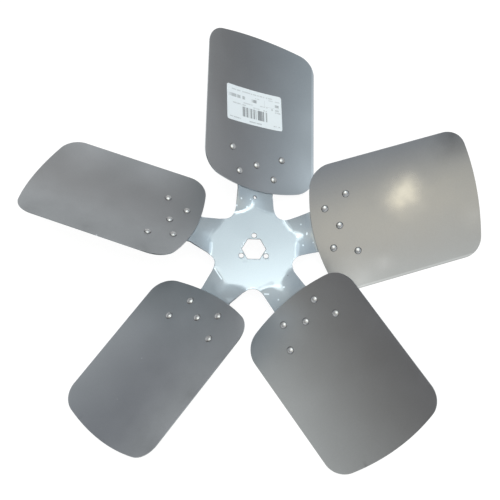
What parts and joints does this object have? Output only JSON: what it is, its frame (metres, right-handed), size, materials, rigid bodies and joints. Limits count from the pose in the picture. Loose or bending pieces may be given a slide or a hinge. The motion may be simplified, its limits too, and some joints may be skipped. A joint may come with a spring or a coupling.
{
  "type": "axial fan impeller",
  "caption": "Axial fan impeller: cambered sheet-metal blades riveted to the twisted arms of a flat star-shaped spider, with a hexagonal centre hole, a bolt circle and a paper label.",
  "frame": {"origin": "centre of the bolt circle, on the hub's front face", "axes": "+Z along the axis of rotation, towards the discharge side; +Y along the arm that carries the label; +X completes a right-handed frame"},
  "size_m": [0.5989, 0.5817, 0.0938],
  "materials": {
    "spider_sheet": "zinc-plated sheet, satin",
    "blade_sheet": "mill finish, satin",
    "rivets": "bright",
    "label": "matt paper"
  },
  "bodies": {
    "root": {"spider": "spider_sheet", "blade_1": "blade_sheet", "blade_2": "blade_sheet", "blade_3": "blade_sheet", "blade_4": "blade_sheet", "blade_5": "blade_sheet", "rivets": "rivets", "label": "label"}
  },
  "joints": []
}
